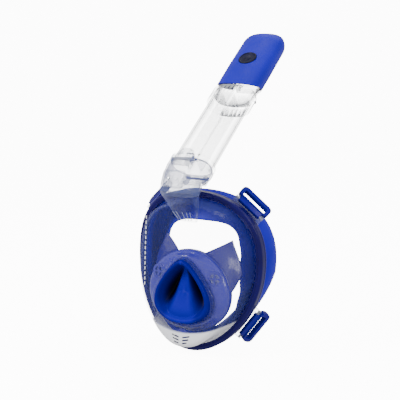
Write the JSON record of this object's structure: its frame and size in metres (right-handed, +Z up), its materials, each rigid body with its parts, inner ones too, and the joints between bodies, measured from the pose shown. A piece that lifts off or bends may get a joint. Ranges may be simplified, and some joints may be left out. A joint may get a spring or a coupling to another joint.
{
  "type": "snorkel mask",
  "caption": "Full-face snorkel mask with a clear visor, a moulded nose pocket, strap buckles and a folding snorkel tube with a dry top.",
  "frame": {"origin": "centre of the face opening, at the rear rim of the skirt on the middle plane", "axes": "+Z up along the face, -Y the way the visor looks, +X the wearer's left"},
  "size_m": [0.2034, 0.296, 0.4553],
  "materials": {
    "blue_plastic": "royal-blue moulded plastic, satin gloss",
    "blue_silicone": "royal-blue liquid silicone, soft satin",
    "soft_silicone": "translucent blue silicone",
    "clear_plastic": "clear polycarbonate, polished",
    "valve_rubber": "milky thin silicone flap",
    "dark_rubber": "dark soft seal",
    "dark_badge": "dark navy plain inset badge",
    "float_foam": "pale closed-cell float",
    "steel": "plain stainless pin or screw"
  },
  "bodies": {
    "mask_shell": {"visor": "clear_plastic", "front_frame": "blue_plastic", "rear_frame": "blue_plastic", "face_skirt": "blue_silicone", "nose_pocket": "blue_silicone", "nose_retainer": "clear_plastic", "oronasal_cup": "soft_silicone", "cup_wing_left": "soft_silicone", "cup_wing_right": "soft_silicone", "inhale_seat_left": "clear_plastic", "inhale_seat_right": "clear_plastic", "chin_valve_seat": "clear_plastic", "air_duct": "clear_plastic", "snorkel_base": "clear_plastic", "base_panel": "clear_plastic", "panel_screw_left": "steel", "panel_screw_right": "steel", "tube_seal": "dark_rubber", "fold_pin": "steel", "latch_pin": "steel", "strap_bracket_upper_left": "clear_plastic", "strap_bracket_upper_right": "clear_plastic", "strap_bracket_lower_left": "clear_plastic", "strap_bracket_lower_right": "clear_plastic", "buckle_pin_upper_left": "steel", "buckle_pin_upper_right": "steel", "buckle_pin_lower_left": "steel", "buckle_pin_lower_right": "steel"},
    "snorkel": {"snorkel_tube": "clear_plastic", "tube_collar": "clear_plastic", "collar_screw": "steel", "top_body": "clear_plastic", "vent_cover": "clear_plastic", "top_cap": "blue_plastic", "cap_badge": "dark_badge"},
    "latch": {"latch": "clear_plastic"},
    "dry_top_float": {"float": "float_foam", "float_seal": "dark_rubber"},
    "exhale_flap_left": {"exhale_flap_left": "valve_rubber"},
    "exhale_flap_right": {"exhale_flap_right": "valve_rubber"},
    "inhale_valve_left": {"inhale_valve_left": "valve_rubber"},
    "inhale_valve_right": {"inhale_valve_right": "valve_rubber"},
    "chin_valve": {"chin_valve": "valve_rubber"},
    "buckle_upper_left": {"strap_buckle_upper_left": "blue_plastic"},
    "buckle_upper_right": {"strap_buckle_upper_right": "blue_plastic"},
    "buckle_lower_left": {"strap_buckle_lower_left": "blue_plastic"},
    "buckle_lower_right": {"strap_buckle_lower_right": "blue_plastic"}
  },
  "joints": [
    {"name": "snorkel_fold", "type": "hinge", "parent": "mask_shell", "child": "snorkel", "pos_m": [0, -0.04222, 0.13109], "axis": [-1, 0, 0], "range_deg": [0, 40]},
    {"name": "latch_press", "type": "hinge", "parent": "mask_shell", "child": "latch", "pos_m": [0, -0.08294, 0.16209], "axis": [1, 0, 0], "range_deg": [0, 10], "stiffness_Nm_per_rad": 0.05},
    {"name": "float_lift", "type": "slide", "parent": "snorkel", "child": "dry_top_float", "axis": [0, 0.788, 0.6157], "range_m": [0, 0.008]},
    {"name": "exhale_flap_left_lift", "type": "hinge", "parent": "snorkel", "child": "exhale_flap_left", "pos_m": [0.028, 0.05584, 0.23816], "axis": [0, 0.6157, -0.788], "range_deg": [0, 40], "stiffness_Nm_per_rad": 0.001},
    {"name": "exhale_flap_right_lift", "type": "hinge", "parent": "snorkel", "child": "exhale_flap_right", "pos_m": [-0.028, 0.05584, 0.23816], "axis": [0, -0.6157, 0.788], "range_deg": [0, 40], "stiffness_Nm_per_rad": 0.001},
    {"name": "inhale_valve_left_open", "type": "slide", "parent": "mask_shell", "child": "inhale_valve_left", "axis": [-0.2079, 0.9781, 0], "range_m": [0, 0.0015], "stiffness_N_per_m": 30},
    {"name": "inhale_valve_right_open", "type": "slide", "parent": "mask_shell", "child": "inhale_valve_right", "axis": [0.2079, 0.9781, 0], "range_m": [0, 0.0015], "stiffness_N_per_m": 30},
    {"name": "chin_valve_open", "type": "slide", "parent": "mask_shell", "child": "chin_valve", "axis": [0, -1, 0], "range_m": [0, 0.001], "stiffness_N_per_m": 30},
    {"name": "buckle_upper_left_swing", "type": "hinge", "parent": "mask_shell", "child": "buckle_upper_left", "pos_m": [0.07441, -0.02439, 0.09475], "axis": [-0.7306, -0.199, 0.6532], "range_deg": [-60, 0]},
    {"name": "buckle_upper_right_swing", "type": "hinge", "parent": "mask_shell", "child": "buckle_upper_right", "pos_m": [-0.07441, -0.02439, 0.09475], "axis": [-0.7306, 0.199, -0.6532], "range_deg": [-60, 0]},
    {"name": "buckle_lower_left_swing", "type": "hinge", "parent": "mask_shell", "child": "buckle_lower_left", "pos_m": [0.07851, -0.02127, -0.07124], "axis": [0.5555, 0.1689, 0.8142], "range_deg": [-60, 0]},
    {"name": "buckle_lower_right_swing", "type": "hinge", "parent": "mask_shell", "child": "buckle_lower_right", "pos_m": [-0.07851, -0.02127, -0.07124], "axis": [0.5555, -0.1689, -0.8142], "range_deg": [-60, 0]}
  ]
}
